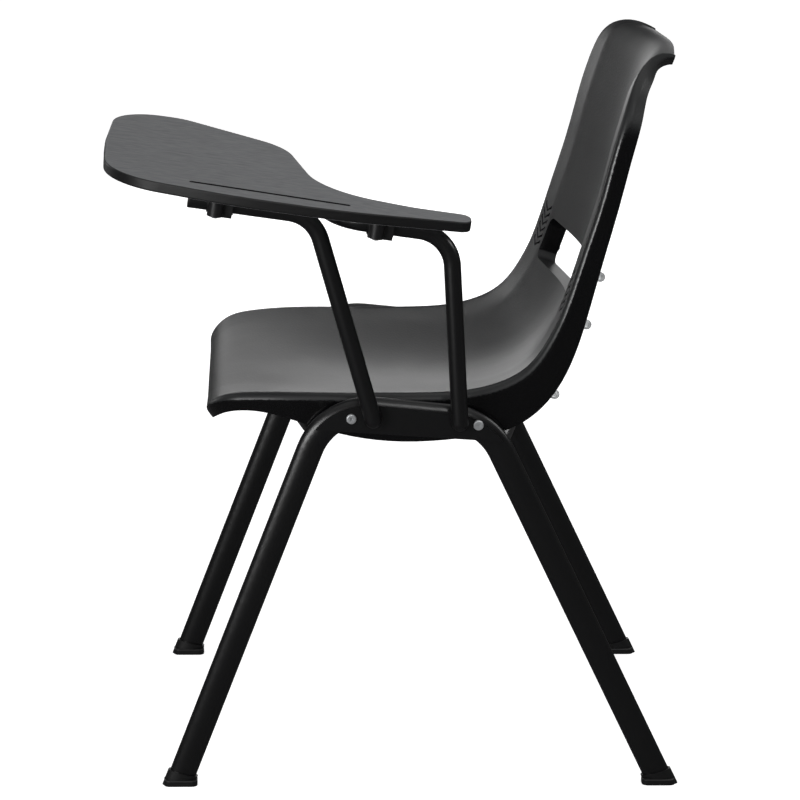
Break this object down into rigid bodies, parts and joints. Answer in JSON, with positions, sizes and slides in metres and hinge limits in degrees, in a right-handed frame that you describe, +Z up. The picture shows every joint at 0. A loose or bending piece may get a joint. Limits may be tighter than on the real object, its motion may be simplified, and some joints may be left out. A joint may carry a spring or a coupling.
{
  "type": "student desk chair",
  "caption": "Stackable classroom chair: one-piece black shell with lumbar window on two bent oval-tube leg frames, with a flip-up paddle writing tablet on the left.",
  "frame": {"origin": "middle of the whole chair's box, at the floor", "axes": "+Z up, +Y towards the back of the chair, +X to the sitter's left, the side with the tablet"},
  "size_m": [0.5634, 0.6504, 0.8215],
  "materials": {
    "shell_polypropylene": "fine moulded grain on the sitting face, gloss on the rim and skirt",
    "powder_coated_steel": "semi-gloss black powder coat",
    "glide_plastic": "satin",
    "black_nylon": "satin",
    "zinc_plated_steel": "bright zinc",
    "felt": "pressed felt",
    "clear_bumper": "soft clear dome",
    "tablet_laminate": "black embossed woodgrain laminate on board"
  },
  "bodies": {
    "root": {"seat_shell": "shell_polypropylene", "leg_frame_left": "powder_coated_steel", "leg_frame_right": "powder_coated_steel", "glide_front_left": "glide_plastic", "glide_front_right": "glide_plastic", "glide_rear_left": "glide_plastic", "glide_rear_right": "glide_plastic", "crossbar_front": "powder_coated_steel", "crossbar_rear": "powder_coated_steel", "shell_bolts_left": "zinc_plated_steel", "shell_bolts_right": "zinc_plated_steel", "shell_spacers": "black_nylon", "shell_washers": "zinc_plated_steel", "shell_nuts": "zinc_plated_steel", "arm_plate": "powder_coated_steel", "arm_tube_front": "powder_coated_steel", "arm_tube_rear": "powder_coated_steel", "arm_cap_front": "black_nylon", "arm_cap_rest": "black_nylon", "arm_welds": "powder_coated_steel", "stack_bumpers": "clear_bumper"},
    "tablet": {"tablet_board": "tablet_laminate", "hinge_block_front": "black_nylon", "hinge_block_rear": "black_nylon", "hinge_bush_front": "black_nylon", "hinge_bush_rear": "black_nylon", "tablet_screws": "zinc_plated_steel", "rest_pad": "felt"}
  },
  "joints": [
    {"name": "tablet_flip", "type": "hinge", "parent": "root", "child": "tablet", "pos_m": [0.23015, 0.0311, 0.6438], "axis": [0, 0.9907, -0.1363], "range_deg": [0, 86]}
  ]
}
